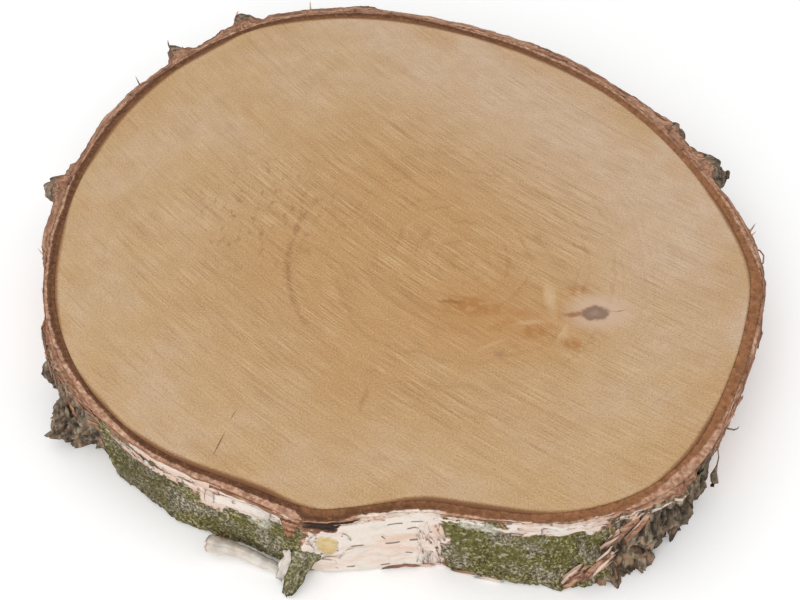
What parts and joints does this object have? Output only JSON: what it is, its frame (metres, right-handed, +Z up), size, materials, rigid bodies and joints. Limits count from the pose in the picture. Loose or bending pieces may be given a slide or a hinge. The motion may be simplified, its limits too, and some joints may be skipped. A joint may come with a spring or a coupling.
{
  "type": "wood slice",
  "caption": "Thick round slice sawn across a birch trunk, with smooth sawn faces and ragged bark around the rim, used as a board, stand or base.",
  "frame": {"origin": "middle of the sawn underside, on the surface the slice rests on", "axes": "+Z up, out of the sawn top face; -Y towards the side with the white paper bark and the shallow dip in the rim; +X to the right seen from that side"},
  "size_m": [0.2568, 0.2596, 0.03],
  "materials": {
    "wood": "sawn and dry, unvarnished",
    "inner_bark": "dry and fibrous",
    "outer_bark": "papery and corky, with lichen"
  },
  "bodies": {
    "root": {"wood_disc": "wood", "inner_bark": "inner_bark", "outer_bark": "outer_bark"}
  },
  "joints": []
}
